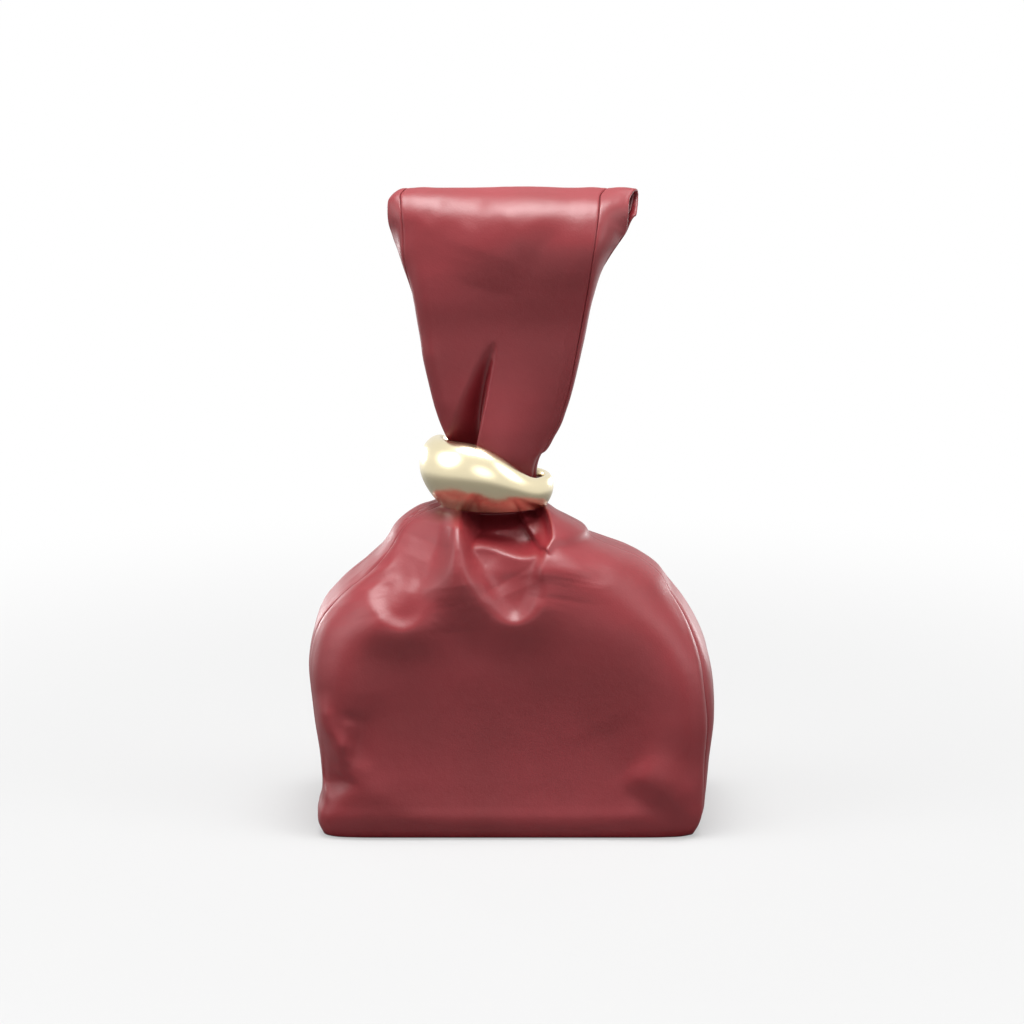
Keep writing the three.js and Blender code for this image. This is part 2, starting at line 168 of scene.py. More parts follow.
# %% Leather
def nappa_leather(name, dark, light, roughness=0.46):
    """Chrome-tanned nappa: aniline-dyed sheepskin with a soft gloss, a pebble grain and cloudy dye."""
    grain_size, cloud_size, crease_size = 0.9 * MM, 45 * MM, 7 * MM
    grain_depth, crease_depth = 0.25 * MM, 0.6 * MM
    material, tree, place = new_material(name)
    colour = colour_ramp(tree, noise(tree, place, cloud_size, 3.0), [(0.32, dark), (0.7, light)])
    grain = add_node(tree, "ShaderNodeTexVoronoi", Vector=place, Scale=1 / grain_size).outputs["Distance"]
    creases = noise(tree, place, crease_size, 4.0)
    pebble = bump(tree, grain, 0.1, grain_depth)
    return finished(
        material,
        Base_Color=colour,
        Roughness=spread(tree, creases, roughness - 0.04, roughness + 0.06),
        Normal=bump(tree, creases, 0.22, crease_depth, Normal=pebble),
        IOR=1.5,
        Specular_IOR_Level=0.48,
        Sheen_Weight=0.04,
        Sheen_Roughness=0.4,
    )


# %% Lining and board
def cotton_twill(name, dark, light):
    """Woven cotton twill: matt, with fine diagonal ribs, drawn coarse enough to show."""
    rib_spacing, rib_depth = 1.6 * MM, 0.3 * MM
    waves_per_scale = 0.31
    material, tree, place = new_material(name)
    ribs = add_node(
        tree,
        "ShaderNodeTexWave",
        {"bands_direction": "DIAGONAL"},
        Vector=place,
        Scale=waves_per_scale / rib_spacing,
        Distortion=0.6,
        Detail=1.0,
    )
    colour = colour_ramp(tree, ribs.outputs["Fac"], [(0.1, dark), (0.9, light)])
    weave = bump(tree, ribs.outputs["Fac"], 0.5, rib_depth)
    return finished(material, Base_Color=colour, Roughness=0.88, Normal=weave, Sheen_Weight=0.3)


def fibre_board(name, dark, light):
    """Pressed fibre board: matt brown, flecked with short fibres."""
    fleck_size = 2.5 * MM
    material, tree, place = new_material(name)
    flecks = noise(tree, place, fleck_size, 6.0)
    colour = colour_ramp(tree, flecks, [(0.35, dark), (0.65, light)])
    return finished(material, Base_Color=colour, Roughness=0.92)


# %% Gold, and the five finishes
def polished_gold(name, tint):
    """Pale gold plate on a polished casting: a mirror that hand polishing has left soft and wavy."""
    wave_size, wave_depth = 9 * MM, 0.5 * MM
    glossiest, dullest = 0.21, 0.27
    material, tree, place = new_material(name)
    waves = noise(tree, place, wave_size, 1.0)
    return finished(
        material,
        Base_Color=linear(tint),
        Metallic=1.0,
        Roughness=spread(tree, waves, glossiest, dullest),
        Normal=bump(tree, waves, 0.05, wave_depth),
    )


burgundy = nappa_leather("burgundy_nappa", "#680c14", "#72121b")
# The handle's facing is the same burgundy leather as the outside, coloured darker to paint the shade inside
# the loop.
facing_leather_painted_shade = nappa_leather("burgundy_facing_painted_shade", "#501419", "#5d1d22", roughness=0.55)
twill = cotton_twill("lining_twill", "#4d1a20", "#63262b")
board = fibre_board("base_fibre_board", "#6d573d", "#947a58")
gold = polished_gold("pale_gold_plate", "#e9dcb9")
print("finishes:", len(bpy.data.materials))

# %% [markdown]
# ## The pouch's form
# A pouch of soft leather can be blown up from a pattern by simulation, or lofted and then sculpted.
# It is lofted here, because the folds in the photograph have places of their own.
# Hoops give the loft its left, right, front and back at a few heights, and a smooth curve runs
# through them.

# %% Pouch hoops
# Height, left, right, front, back in millimetres, and how square the hoop is (2 is an ellipse)
HOOPS = np.array([
    [0.0, -94.5, 91, -50.0, 46.5, 12.0],
    [7.0, -97.0, 94.5, -53.0, 48.5, 11.0],
    [20.0, -94.5, 96.5, -53.5, 49.0, 9.0],
    [34.0, -95.2, 98.0, -54.5, 49.5, 7.0],
    [60.0, -99.0, 101.0, -56.0, 52, 5.4],
    [85.0, -101.0, 98.0, -55.5, 52.5, 4.4],
    [104.0, -96.5, 89.0, -53.0, 52, 3.7],
    [116.0, -87.5, 80.5, -49.5, 50.5, 3.2],
    [128.0, -74.5, 70.5, -44.5, 46.5, 2.8],
    [135.0, -67.5, 58.5, -42.0, 42.5, 2.6],
    [141.0, -63.0, 42.0, -38.0, 39.5, 2.4],
    [147.5, -59.0, 36.0, -34.5, 35.0, 2.2],
    [153.5, -52.5, 24.5, -29.0, 30.0, 2.1],
    [157.5, -45.5, 19.0, -25.0, 25.5, 2.0],
    [160.0, -37.5, 16.0, -21.5, 22.0, 2.0],
    [165.0, -33.2, 14.6, -20.4, 20.4, 2.0],
    [172.0, -33.2, 14.6, -20.4, 20.4, 2.0],
])
BELLY_RISE = 66
NECK_FOOT = 158.5
GUSSET_ANGLE = math.radians(32)
NECK_GUSSET_ANGLE = math.radians(13)
FOOT_TWIST, SEAM_TWIST = math.radians(-6), math.radians(18)
TWIST_FROM, TWIST_TO = 0.35, 0.8


# %% Smooth curves
def through(knots, values, at):
    """A smooth curve through values at their knots: cubic pieces that share their slopes."""
    slopes = np.gradient(values, knots, axis=0)
    piece = np.clip(np.searchsorted(knots, at, side="right") - 1, 0, len(knots) - 2)
    gap = knots[piece + 1] - knots[piece]
    spare = (1,) * (values.ndim - 1)
    t = ((at - knots[piece]) / gap).reshape(-1, *spare)
    gap = gap.reshape(-1, *spare)
    return (
        (2 * t**3 - 3 * t**2 + 1) * values[piece]
        + (t**3 - 2 * t**2 + t) * gap * slopes[piece]
        + (3 * t**2 - 2 * t**3) * values[piece + 1]
        + (t**3 - t**2) * gap * slopes[piece + 1]
    )


def run_along(points):
    """The length of a path from its start to each of its points."""
    return np.concatenate([[0], np.cumsum(np.linalg.norm(np.diff(points, axis=0), axis=1))])


def smoothstep(low, high, value):
    """0 below low, 1 above high, and an even ease between."""
    t = np.clip((value - low) / (high - low), 0, 1)
    return t * t * (3 - 2 * t)


# %% Pouch wall
hoop_knots = run_along(HOOPS[:, [0, 1, 3]])


def pouch_point(angle, along):
    """Points of the smooth pouch, in metres: angle goes round it, along is millimetres up its wall."""
    height, left, right, front, back, square = through(hoop_knots, HOOPS, along).T
    cos, sin = np.cos(angle), np.sin(angle)
    reach = (np.abs(cos) ** square + np.abs(sin) ** square) ** (-1 / square)
    depth = np.where(sin < 0, -front, back)
    x = (left + right) / 2 + (right - left) / 2 * reach * cos
    return np.stack([x, depth * reach * sin, height], axis=1) * MM


def gusset_angle(along):
    """Half the angle that a side gusset takes: broad below, one fold at the neck."""
    height = through(hoop_knots, HOOPS, along)[:, 0]
    narrowing = smoothstep(BELLY_RISE, NECK_FOOT, height)
    return GUSSET_ANGLE + (NECK_GUSSET_ANGLE - GUSSET_ANGLE) * narrowing


print("wall height along the leather:", round(hoop_knots[-1]), "mm")

# %% [markdown]
# ## One grid for all four walls
# Front, right, back and left leather are sewn edge to edge, so they are shaped together on one grid that
# closes round the pouch, and cut apart at the seams afterwards. Then neighbours always meet.

# %% Wall grid
FRONT_COLUMNS = 28
GUSSET_COLUMNS = 10
WALL_ROWS = 34
FRONT, RIGHT, BACK, LEFT = 1.5 * math.pi, 2 * math.pi, 2.5 * math.pi, 3 * math.pi

wall_along = np.linspace(0, hoop_knots[-1], WALL_ROWS + 1)


def wall_angles():
    """The angle of every grid point, row by row, starting at the front's left seam."""
    rows = []
    for along, half_gusset in zip(wall_along, gusset_angle(wall_along)):
        half_front = math.pi / 2 - half_gusset
        twist = FOOT_TWIST + SEAM_TWIST * smoothstep(TWIST_FROM, TWIST_TO, along / hoop_knots[-1])
        stretches = [
            (FRONT, half_front, FRONT_COLUMNS),
            (RIGHT, half_gusset, GUSSET_COLUMNS),
            (BACK, half_front, FRONT_COLUMNS),
            (LEFT, half_gusset, GUSSET_COLUMNS),
        ]
        angles = [
            np.linspace(middle - half, middle + half, columns, endpoint=False)
            for middle, half, columns in stretches
        ]
        rows.append(np.concatenate(angles) + twist)
    return np.array(rows)


wall_angle = wall_angles()
wall = np.array([pouch_point(a, np.full_like(a, s)) for a, s in zip(wall_angle, wall_along)])


def wall_normals(grid):
    """Outward directions on a grid whose rows close round the pouch."""
    across = np.roll(grid, -1, axis=1) - np.roll(grid, 1, axis=1)
    up = np.gradient(grid, axis=0)
    normal = np.cross(across, up)
    return normal / np.linalg.norm(normal, axis=2, keepdims=True)


print("wall grid:", wall.shape)

# %% [markdown]
# ## Folds
# Gathered leather folds where it is drawn together. Three kinds of stroke are enough to sculpt it:
# a dish, a ridge with its own width on each side, and a crease.
# Each is drawn in photograph pixels with its depth in millimetres. It moves the leather along the
# line of sight, so a fold stays under the pixels where it was drawn.


# %% Paths
def drawn(path, steps=3):
    """A smooth curve through the points of a path, and the share of its length at each of those points."""
    path = np.array(path, float)
    last = len(path) - 1
    curve = through(np.arange(last + 1), path, np.linspace(0, last, steps * last + 1))
    run = run_along(curve)
    return curve, run[::steps] / run[-1]


def nearest_on_path(pixels, path):
    """Distance to a path, its side (left is negative), and the share of the path where it is nearest."""
    best = np.full(len(pixels), np.inf)
    side = np.zeros(len(pixels))
    share = np.zeros(len(pixels))
    starts = run_along(path)
    lengths = np.linalg.norm(np.diff(path, axis=0), axis=1)
    for start, end, length, before in zip(path[:-1], path[1:], lengths, starts):
        run = (end - start) / length
        offset = pixels - start
        t = np.clip(offset @ run, 0, length)
        away = offset - t[:, None] * run
        distance = np.linalg.norm(away, axis=1)
        nearer = distance < best
        best[nearer] = distance[nearer]
        side[nearer] = np.sign(run[0] * away[:, 1] - run[1] * away[:, 0])[nearer]
        share[nearer] = ((before + t) / starts[-1])[nearer]
    return best, side, share


# %% Strokes
FOLD_PROFILE = (0.1, 1.6)


def crease(pixels, path, rise, width, other_width=None, fades=(0.3, 0.3)):
    """A ridge, or a valley for a negative rise, along a path, with a width on each side of it."""
    curve, _ = drawn(path)
    distance, side, share = nearest_on_path(pixels, curve)
    reach = np.where(side < 0, width, other_width or width)
    ends = smoothstep(-1e-6, fades[0], share) * smoothstep(-1e-6, fades[1], 1 - share)
    return rise * ends * np.exp(-((distance / reach) ** 2))


def fold(pixels, path, rises, left, right):
    """A ridge drawn downwards, with its rise and its widths to the left and right at each point."""
    curve, marks = drawn(path)
    distance, side, share = nearest_on_path(pixels, curve)
    reach = np.where(side > 0, np.interp(share, marks, left), np.interp(share, marks, right))
    return np.interp(share, marks, rises) * (1 - smoothstep(*FOLD_PROFILE, distance / reach))


def hollow(pixels, path, depths, radii):
    """A dish along a path, with a depth and a radius at each of its points."""
    curve, marks = drawn(path)
    distance, _, share = nearest_on_path(pixels, curve)
    out = distance / np.interp(share, marks, radii)
    return -np.interp(share, marks, depths) * np.clip(1 - out**2, 0, None) ** 1.5


# %% Large folds
FRONT_DISH = [(460, 704), (570, 710)]
RIGHT_SLACK = [(560, 530), (590, 560), (604, 590)]
LEFT_SLACK = [(350, 712), (357, 740), (352, 768)]
LEFT_WAIST = [(312, 728), (321, 762), (330, 792)]


def large_folds(pixels):
    """The slack of the shoulder, the front's shallow dish and its left waist, in millimetres."""
    push = hollow(pixels, FRONT_DISH, depths=[9.5, 9.5], radii=[125, 125])
    push += crease(pixels, RIGHT_SLACK, rise=-1.5, width=16)
    push += crease(pixels, LEFT_SLACK, rise=-2.0, width=16)
    return push + crease(pixels, LEFT_WAIST, rise=-4.5, width=14)


# %% Gathers at the neck
PLEAT_COUNT, PLEAT_DEPTH = 11, 8
PLEATS_FROM, SHALLOW_FROM, SHALLOWING = 118, 166, 0.6
BEHIND = (0.25, 0.75)
IN_RING = (NECK_FOOT + 1, NECK_FOOT + 8)
FOLDS_END = (NECK_FOOT - 1, NECK_FOOT + 5)
WALL_FACING = (0.05, 0.4)


def neck_gathers(angle, height):
    """Pleats round the back, in millimetres, fading down the shoulder, and all round inside the ring."""
    taper = smoothstep(PLEATS_FROM, NECK_FOOT, height)
    taper = taper * (1 - SHALLOWING * smoothstep(NECK_FOOT, SHALLOW_FROM, height))
    wander = np.sin(2 * angle + 0.7) + 0.7 * np.sin(3 * angle + 2.1)
    where = np.maximum(smoothstep(*BEHIND, np.sin(angle)), smoothstep(*IN_RING, height))
    wave = (0.5 - 0.5 * np.cos(PLEAT_COUNT * angle + wander)) ** 0.8
    return -PLEAT_DEPTH * taper * where * wave


def pushed(grid, push):
    """A wall grid pushed along its normals by millimetres."""
    return grid + wall_normals(grid) * push.reshape(grid.shape[:2])[..., None] * MM


def drawn_on(grid, folds, smooth):
    """The grid with folds drawn on it from the camera, where its smooth form faces the camera."""
    flat = grid.reshape(-1, 3)
    sight = camera_place - flat
    sight /= np.linalg.norm(sight, axis=1, keepdims=True)
    facing = smoothstep(*WALL_FACING, wall_normals(smooth).reshape(-1, 3) @ camera_back)
    below_ring = 1 - smoothstep(*FOLDS_END, flat[:, 2] / MM)
    push = folds(in_photo(flat)) * facing * below_ring
    return grid + (sight * push[:, None] * MM).reshape(grid.shape)


gathers = neck_gathers(wall_angle.ravel(), wall[..., 2].ravel() / MM)
gathered = pushed(drawn_on(wall, large_folds, wall), gathers)
gathered[0] = wall[0]
print("large folds:", round(np.linalg.norm(gathered - wall, axis=2).max() / MM, 1), "mm at most")

# %% [markdown]
# ## Settle the leather as cloth
# Drawn folds look carved until the leather has found its own rest. Blender's Cloth lets it: the pattern
# is cut wider at the neck than the ring allows, the neck and the foot are held, and a little pressure
# stands for the lining and the air inside. The grid is coarse, so only broad folds can form.

# %% Cloth
NECK_SLACK = 0.05
SLACK_FROM = 108
WALL_SLACK = 0.02
HOLD_FIRM, HOLD_LOOSE = 1.0, 0.3
LOOSE_FROM, LOOSE_TO = 60, 122
RISE_SLACK_FROM, RISE_SLACK_TO = 60, 150
LEAST_CLIMB = 0.2
SETTLE_FRAMES = 40


def hoop_lengths(grid):
    """The length of each row of a closed grid."""
    return np.linalg.norm(np.roll(grid, -1, axis=1) - grid, axis=2).sum(axis=1)


def cut_pattern():
    """The leather before it is gathered: the same rows, with the slack that becomes folds."""
    height = wall[..., 2].mean(axis=1) / MM
    length = np.maximum(hoop_lengths(gathered), hoop_lengths(wall))
    widen = length / hoop_lengths(wall) * (1 + NECK_SLACK * smoothstep(SLACK_FROM, NECK_FOOT, height))
    rise = np.linalg.norm(np.diff(wall, axis=0), axis=2).mean(axis=1)
    rise *= 1 + WALL_SLACK * smoothstep(RISE_SLACK_FROM, RISE_SLACK_TO, height[:-1])
    pattern = wall.copy()
    middle = wall.mean(axis=1, keepdims=True)
    pattern[..., :2] = middle[..., :2] + (wall[..., :2] - middle[..., :2]) * widen[:, None, None]
    for row in range(1, len(pattern)):
        across = np.linalg.norm(pattern[row, :, :2] - pattern[row - 1, :, :2], axis=1).mean()
        least = LEAST_CLIMB * rise[row - 1]
        climb = math.sqrt(max(rise[row - 1] ** 2 - across**2, least**2))
        pattern[row, :, 2] = pattern[row - 1, :, 2] + climb
    return pattern


# %% Wall as a mesh
def closed_tube(name, grid):
    """A mesh of a grid whose rows close round the pouch."""
    index = np.arange(grid.shape[0] * grid.shape[1]).reshape(grid.shape[:2])
    beside = np.roll(index, -1, axis=1)
    faces = np.stack([index[:-1], beside[:-1], beside[1:], index[1:]], axis=2)
    mesh = bpy.data.meshes.new(name)
    mesh.from_pydata(grid.reshape(-1, 3).tolist(), [], faces.reshape(-1, 4).tolist())
    tube = bpy.data.objects.new(name, mesh)
    bpy.context.collection.objects.link(tube)
    return tube


# %% Settle
def settle(grid, pattern, hold):
    """Runs cloth on the grid and returns where its points come to rest."""
    tube = closed_tube("settling_wall", grid)
    tube.shape_key_add(name="gathered")
    cut = tube.shape_key_add(name="cut")
    cut.data.foreach_set("co", pattern.ravel())
    cut.value = 0
    held = tube.vertex_groups.new(name="held")
    for point, weight in enumerate(hold.ravel()):
        held.add([point], float(weight), "REPLACE")
    cloth = tube.modifiers.new("Cloth", "CLOTH")
    leather = cloth.settings
    leather.quality = 8
    leather.mass = 0.3
    leather.tension_stiffness = leather.compression_stiffness = 40
    leather.tension_damping = leather.compression_damping = leather.shear_damping = 25
    leather.shear_stiffness = 10
    leather.bending_stiffness = 4
    leather.bending_damping = 1
    leather.vertex_group_mass = "held"
    leather.pin_stiffness = 1
    leather.rest_shape_key = cut
    leather.use_pressure = True
    leather.uniform_pressure_force = 3
    leather.effector_weights.gravity = 0.3
    cloth.collision_settings.use_collision = False
    cloth.point_cache.frame_end = SETTLE_FRAMES
    for frame_number in range(1, SETTLE_FRAMES + 1):
        bpy.context.scene.frame_set(frame_number)
    settled = tube.evaluated_get(bpy.context.evaluated_depsgraph_get())
    points = np.empty(grid.size)
    settled.data.vertices.foreach_get("co", points)
    bpy.data.objects.remove(tube)
    bpy.context.scene.frame_set(1)
    return points.reshape(grid.shape)


wall_height = wall[..., 2] / MM
hold = HOLD_FIRM + (HOLD_LOOSE - HOLD_FIRM) * smoothstep(LOOSE_FROM, LOOSE_TO, wall_height)
hold[wall_height > NECK_FOOT] = 1
hold[:2] = 1
pattern = cut_pattern()
settled = settle(gathered, pattern, hold)
settling = np.linalg.norm(settled - gathered, axis=2).max() / MM
print("settling moved the leather", round(settling, 1), "mm at most")

# %% [markdown]
# ## Fine folds
# The settled grid is refined on smooth curves, and then the sharp creases are drawn: the crest of the
# main fold, the lip of the pocket and the furrows that the photograph shows.

# %% Refine
REFINE = 6


def refined(grid):
    """The grid with REFINE times as many rows and columns, on smooth curves through its points."""
    rows, columns = grid.shape[:2]
    fine_rows = through(np.arange(rows), grid, np.linspace(0, rows - 1, REFINE * (rows - 1) + 1))
    wrap = 3
    padded = np.concatenate([fine_rows[:, -wrap:], fine_rows, fine_rows[:, :wrap]], axis=1)
    picks = wrap + np.arange(REFINE * columns) / REFINE
    fine = through(np.arange(columns + 2 * wrap), padded.transpose(1, 0, 2), picks)
    return fine.transpose(1, 0, 2)


# %% Paths of the fine folds
MAIN_FOLD = [(460, 508), (457, 526), (457, 550), (458, 566), (459, 586), (462, 604), (464, 632)]
RIGHT_FOLD = [(547, 505), (553, 522), (554, 540), (549, 556), (544, 575), (541, 598)]
LEFT_FOLD = [(415, 506), (393, 535), (373, 562), (362, 590), (366, 618)]
LEFT_RIM = [(362, 576), (366, 600), (374, 615), (386, 627), (400, 633), (413, 630), (424, 618), (433, 598)]
RIGHT_RIM = [
    (470, 556), (479, 577), (487, 596), (496, 612), (507, 623), (520, 624), (532, 614),
    (539, 599), (542, 580),
]
LEFT_UNDERCUT = [(366, 648), (400, 656), (430, 644)]
RIGHT_UNDERCUT = [(440, 638), (470, 646), (512, 652), (548, 642)]
POCKET_EDGE = [
    (463, 508), (463, 526), (465, 540), (471, 549), (482, 549), (496, 552), (508, 556),
    (518, 559), (530, 559), (541, 554), (549, 546), (553, 534), (551, 518), (547, 504),
]
TUBE = [(521, 508), (530, 527), (542, 545)]
LEFT_BOWL = [(430, 522), (424, 540), (416, 558)]
RING_SHADE = [(430, 504), (446, 508), (468, 513), (498, 515), (526, 511)]
RIGHT_BOWL = [(496, 562), (508, 580), (514, 592)]
BOWL_CREASE = [(404, 560), (402, 585), (398, 612)]
BOWL_CREASE_BESIDE = [(420, 560), (419, 580), (414, 602)]
LEFT_SLUMP = [(362, 690), (370, 740), (366, 800)]
RIGHT_SLUMP = [(604, 716), (622, 752), (640, 786)]
LEFT_CREASE = [(318, 690), (324, 722), (337, 750), (348, 778)]
LEFT_CREASE_BRANCH = [(352, 716), (346, 738), (341, 756)]
LEFT_CORNER_DENT = [(345, 772), (338, 782), (322, 788)]
CORNER_FOLD = [(626, 766), (652, 783), (697, 815)]
CORNER_VALLEY = [(618, 782), (652, 803), (688, 830)]


# %% Drapes
def fold_pocket(pixels, edge, depth, run):
    """A pocket inside an edge drawn from its left down and up its right: deep close to the edge."""
    distance, side, _ = nearest_on_path(pixels, drawn(edge)[0])
    return -depth * smoothstep(-1, run, distance) * (side < 0)


def neck_drapes(pixels):
    """Ridges between the drapes, their rims, and the pocket with its lip, in millimetres."""
    push = fold(
        pixels,
        MAIN_FOLD,
        rises=[4, 7, 8.5, 8, 6.5, 3.5, 0],
        left=[9, 11, 15, 20, 26, 30, 34],
        right=[6, 7, 11, 16, 20, 22, 22],
    )
    push += fold(
        pixels,
        RIGHT_FOLD,
        rises=[4, 6, 6.5, 5, 3, 0],
        left=[5, 5, 6, 8, 10, 12],
        right=[34, 42, 50, 55, 55, 50],
    )
    push += fold(
        pixels,
        LEFT_FOLD,
        rises=[0, 1, 2.5, 3, 0],
        left=[20, 26, 30, 30, 24],
        right=[16, 18, 18, 18, 16],
    )
    push += crease(pixels, LEFT_RIM, rise=3.6, width=11, other_width=24, fades=(0.45, 0.35))
    push += crease(pixels, RIGHT_RIM, rise=2.8, width=10, other_width=26, fades=(0.25, 0.2))
    push += crease(pixels, LEFT_UNDERCUT, rise=-0.5, width=18)
    push += crease(pixels, RIGHT_UNDERCUT, rise=-0.8, width=20)
    push += hollow(pixels, LEFT_BOWL, depths=[2.5, 4, 2.5], radii=[26, 34, 36])
    push += hollow(pixels, RING_SHADE, depths=[3, 4.5, 6, 6, 4], radii=[18, 18, 17, 17, 14])
    push += hollow(pixels, RIGHT_BOWL, depths=[5, 6, 4.5], radii=[34, 36, 34])
    push += fold(pixels, TUBE, rises=[5, 6, 4], left=[4, 4, 4], right=[10, 10, 8])
    return push + fold_pocket(pixels, POCKET_EDGE, depth=14, run=20)


# %% Small creases
# Path, rise in millimetres, and the widths on its two sides in pixels
SMALL_CREASES = [
    (BOWL_CREASE, -0.5, 7, 7),
    (BOWL_CREASE_BESIDE, -0.4, 7, 7),
    (LEFT_CREASE, 3.2, 10, 7),
    (LEFT_CREASE_BRANCH, 1.3, 10, 8),
    (LEFT_CORNER_DENT, -3.2, 12, 12),
    (LEFT_SLUMP, -1.4, 26, 26),
    (RIGHT_SLUMP, -0.7, 32, 32),
    (CORNER_FOLD, 2.6, 26, 14),
    (CORNER_VALLEY, -1.2, 15, 15),
]


def small_creases(pixels):
    """Creases in the drapes and at the two lower corners, in millimetres."""
    return sum(crease(pixels, *stroke) for stroke in SMALL_CREASES)


def fine_folds(pixels):
    """All the folds that the refined wall can carry, in millimetres."""
    return neck_drapes(pixels) + small_creases(pixels)


fine_wall = refined(settled)
draped = drawn_on(fine_wall, fine_folds, refined(wall))
draped[0, :, 2] = 0
print("fine wall:", draped.shape)

# %% [markdown]
# ## Leather panels
# Each panel is a grid as wide as its stretch of the wall. Its long edges turn in at the seams, which
# leaves the narrow groove that a sewn and turned seam has. Solidify gives the leather its thickness.

# %% Panel builder
LEATHER = 1.5 * MM
SEAM_TURN = 0.7 * MM
SEAM_SWELL = 0.3 * MM
SHOULDER_EASE = 0.85
SEAM_ROUND = np.array([-1.0, -0.5, -0.15])
SEAM_CREST = np.array([0.4, 0.8, 1.0, 0.9, 0.6, 0.3, 0.1])


def deselect_all():
    """Leaves nothing selected and nothing active in the way of the next operator."""
    bpy.ops.object.select_all(action="DESELECT")


def select_only(piece):
    """Makes a piece the one selected and active object."""
    deselect_all()
    piece.select_set(True)
    bpy.context.view_layer.objects.active = piece


def named(name, material):
    """The primitive that was just added, with its name and its material."""
    piece = bpy.context.object
    piece.name = name
    piece.data.name = name
    piece.data.materials.append(material)
    return piece


def apply_modifier(piece, kind, **settings):
    """Adds a modifier with these settings and applies it."""
    modifier = piece.modifiers.new(kind.title(), kind)
    for name, value in settings.items():
        setattr(modifier, name, value)
    select_only(piece)
    bpy.ops.object.modifier_apply(modifier=modifier.name)


# %% Grids
def grid_piece(name, points, material):
    """A grid primitive whose vertices are moved to points, an array of rows by columns by 3."""
    rows, columns = points.shape[0] - 1, points.shape[1] - 1
    deselect_all()
    bpy.ops.mesh.primitive_grid_add(x_subdivisions=columns, y_subdivisions=rows, size=2)
    piece = named(name, material)
    count = len(piece.data.vertices)
    flat = np.empty(3 * count)
    piece.data.vertices.foreach_get("co", flat)
    flat = flat.reshape(-1, 3)
    column = np.rint((flat[:, 0] + 1) / 2 * columns).astype(int)
    row = np.rint((flat[:, 1] + 1) / 2 * rows).astype(int)
    piece.data.vertices.foreach_set("co", points[row, column].ravel())
    piece.data.update()
    return piece


def grid_normals(points):
    """Outward directions of an open grid."""
    normal = np.cross(np.gradient(points, axis=1), np.gradient(points, axis=0))
    return normal / np.maximum(np.linalg.norm(normal, axis=2, keepdims=True), 1e-12)


def turned_edges(points, turn=SEAM_TURN, swell=SEAM_SWELL, fade=1.0):
    """Turns the edges of a panel in at its seams, with a slight swell beside each, faded row by row."""
    profile = np.zeros(points.shape[1])
    steps = np.concatenate([SEAM_ROUND * turn, SEAM_CREST * swell])
    profile[: len(steps)] += steps
    profile[-len(steps) :] += steps[::-1]
    depth = np.broadcast_to(fade, points.shape[:1])[:, None] * profile
    return points + grid_normals(points) * depth[..., None]


# %% Sheets
def finish_sheet(piece, thickness, levels=1):
    """Gives a sheet its thickness, inwards, rounds it by subdivision and shades it smooth."""
    apply_modifier(piece, "SOLIDIFY", thickness=thickness, offset=-1.0)
    if levels:
        apply_modifier(piece, "SUBSURF", levels=levels, render_levels=levels)
    select_only(piece)
    bpy.ops.object.shade_smooth()


def wall_stretch(grid, start, columns):
    """The columns of a closed wall grid from start, one more than columns so that both seams are in."""
    picks = (start + np.arange(columns + 1)) % grid.shape[1]
    return grid[:, picks]


# %% Front, back and gussets
front_span = REFINE * FRONT_COLUMNS
gusset_span = REFINE * GUSSET_COLUMNS
WALL_STARTS = {
    "front_panel": (0, front_span),
    "right_gusset": (front_span, gusset_span),
    "back_panel": (front_span + gusset_span, front_span),
    "left_gusset": (2 * front_span + gusset_span, gusset_span),
}
SEAM_FADE_FROM, SEAM_FADE_TO = 95, 130
wall_rise = draped[..., 2].mean(axis=1) / MM
seam_fade = 1 - SHOULDER_EASE * smoothstep(SEAM_FADE_FROM, SEAM_FADE_TO, wall_rise)
for node, (start, columns) in WALL_STARTS.items():
    panel_points = turned_edges(wall_stretch(draped, start, columns), fade=seam_fade)
    panel = grid_piece(f"{node}_leather", panel_points, burgundy)
    finish_sheet(panel, LEATHER, levels=0)
    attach(panel, "pouch")
    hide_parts(node)

# %% [markdown]
# ## Handle
# The handle is the pouch's leather carried on: half round where it leaves the ring, then opening into a
# flat band that folds over the top and comes down behind. A broad band runs between two narrow edge
# strips. Its legs lie close together above the ring, so that the ring can slide up over them.

# %% Handle path
NECK_X = -9.3
NECK_HALF_WIDTH = 23.9
NECK_HALF_DEPTH = 20.4
HANDLE_FOOT = 164
TUCK_FROM, TUCK_TO, TUCK = 173, 184, 2.6
HANDLE_ROWS = 220

front_leg = [
    (-(NECK_HALF_DEPTH - TUCK), HANDLE_FOOT), (-(NECK_HALF_DEPTH - TUCK), TUCK_FROM),
    (-NECK_HALF_DEPTH, TUCK_TO), (-19.8, 195), (-17.6, 208), (-15.6, 222), (-14.7, 236),
    (-14.8, 250), (-16.6, 264), (-17.8, 278), (-16.2, 293), (-12.0, 303), (-4.5, 310.0),
    (4.0, 313.6),
]
back_leg = [
    (16.0, 312.5), (19.0, 306), (19.5, 294), (18.5, 277), (16.8, 264), (14.9, 250), (14.7, 236),
    (15.6, 222), (17.6, 208), (19.8, 195), (NECK_HALF_DEPTH, TUCK_TO),
    (NECK_HALF_DEPTH - TUCK, TUCK_FROM), (NECK_HALF_DEPTH - TUCK, HANDLE_FOOT),
]
arch_top = [(11.5, 315)]
arch = np.array(front_leg + arch_top + back_leg)
arch_knots = run_along(arch)
arch_path = through(arch_knots, arch, np.linspace(0, arch_knots[-1], HANDLE_ROWS + 1))
arch_ahead = np.gradient(arch_path, axis=0)
arch_ahead /= np.linalg.norm(arch_ahead, axis=1, keepdims=True)

